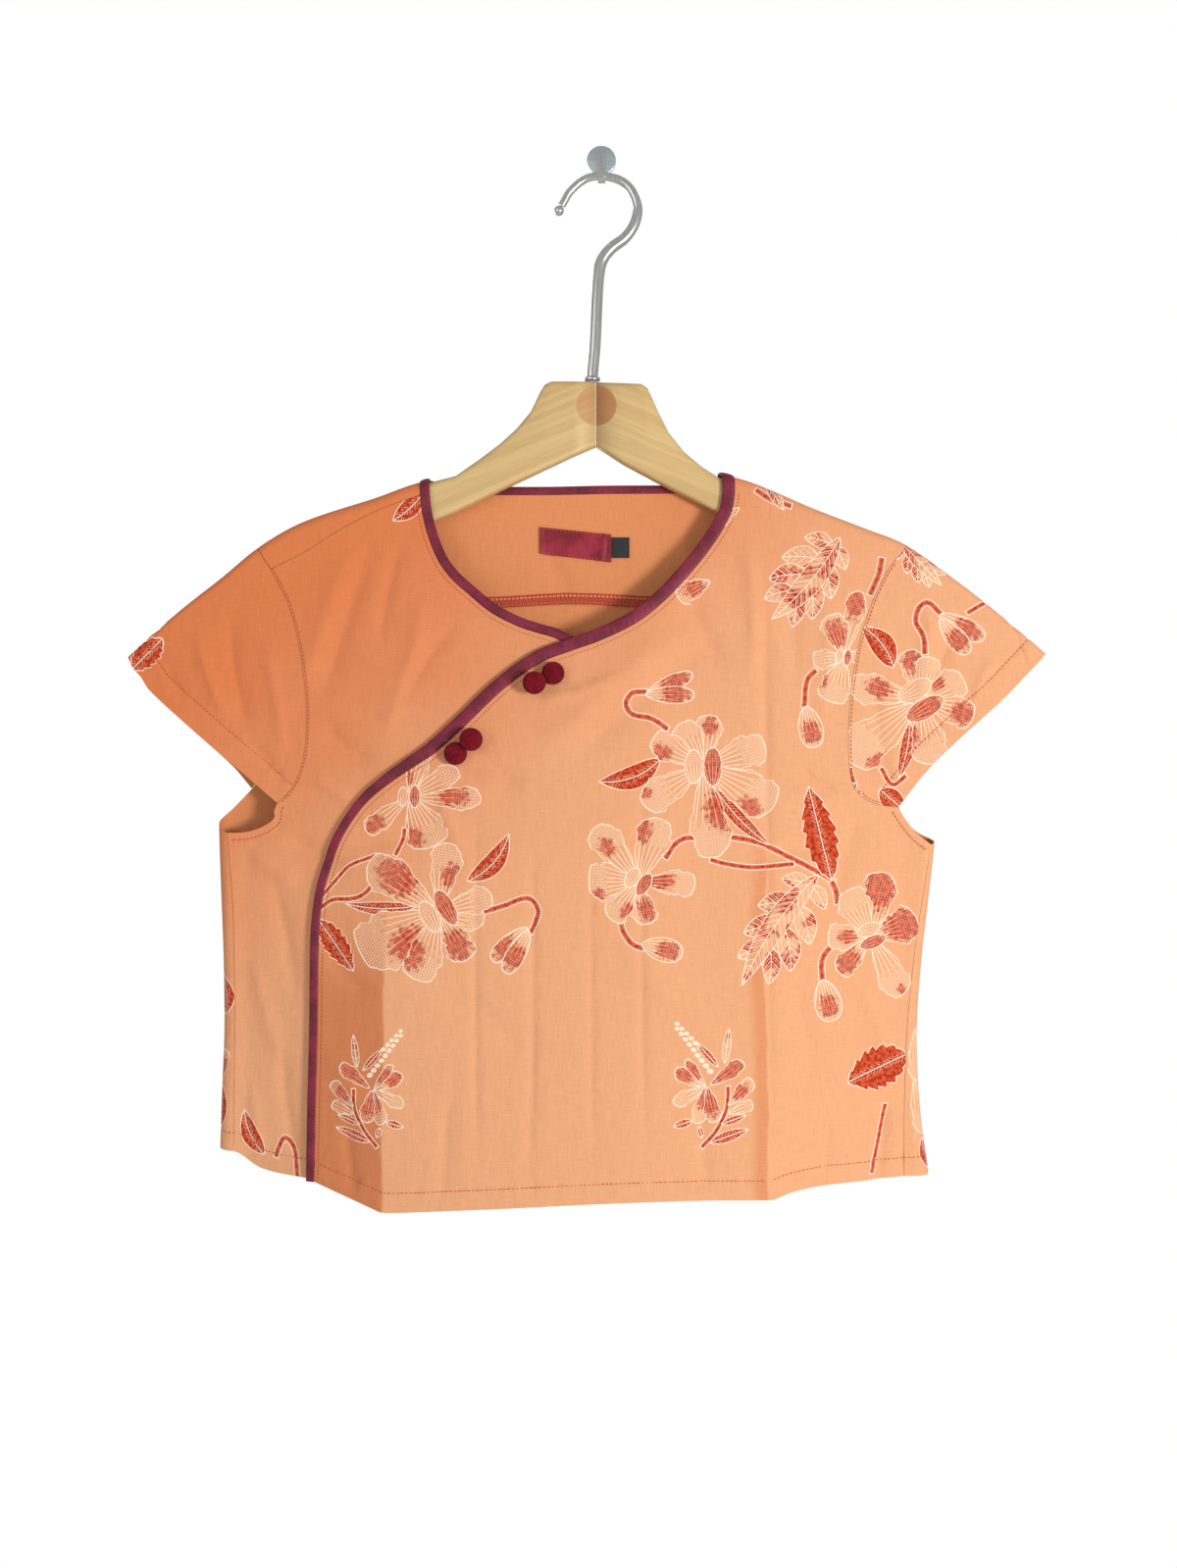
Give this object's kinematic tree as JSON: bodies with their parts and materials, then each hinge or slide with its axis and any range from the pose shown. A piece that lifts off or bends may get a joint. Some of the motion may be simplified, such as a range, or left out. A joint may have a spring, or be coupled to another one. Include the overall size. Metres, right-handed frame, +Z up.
{
  "type": "crop top on a hanger and wall hook",
  "caption": "Cap-sleeved crop top in thin printed cotton, its wrapped front edged with piping and closed by covered ball buttons, on a wooden hanger hung from a small steel wall hook.",
  "frame": {"origin": "centre of the flat back face of the wall hook's disc, where it meets the wall", "axes": "+Z up, +Y into the wall, so the garment's front faces -Y; +X to the viewer's right"},
  "size_m": [0.6234, 0.0795, 0.7218],
  "materials": {
    "peach_cotton": "matte",
    "burgundy_satin": "soft sheen",
    "crimson_cover": "matte",
    "black_tab": "matte",
    "pale_wood": "satin",
    "steel": "brushed"
  },
  "bodies": {
    "root": {"front_overlap": "peach_cotton", "front_under": "peach_cotton", "back_yoke": "peach_cotton", "back_lower": "peach_cotton", "sleeve_left": "peach_cotton", "sleeve_right": "peach_cotton", "piping_overlap_edge": "burgundy_satin", "piping_under_neck": "burgundy_satin", "piping_back_neck": "burgundy_satin", "button_1": "crimson_cover", "button_2": "crimson_cover", "button_3": "crimson_cover", "button_4": "crimson_cover", "neck_label": "burgundy_satin", "size_tab": "black_tab", "hanger_arm_left": "pale_wood", "hanger_arm_right": "pale_wood", "hanger_hook": "steel", "hook_ball": "steel", "hook_collar": "steel", "wall_disc": "steel", "wall_finger": "steel"}
  },
  "joints": []
}
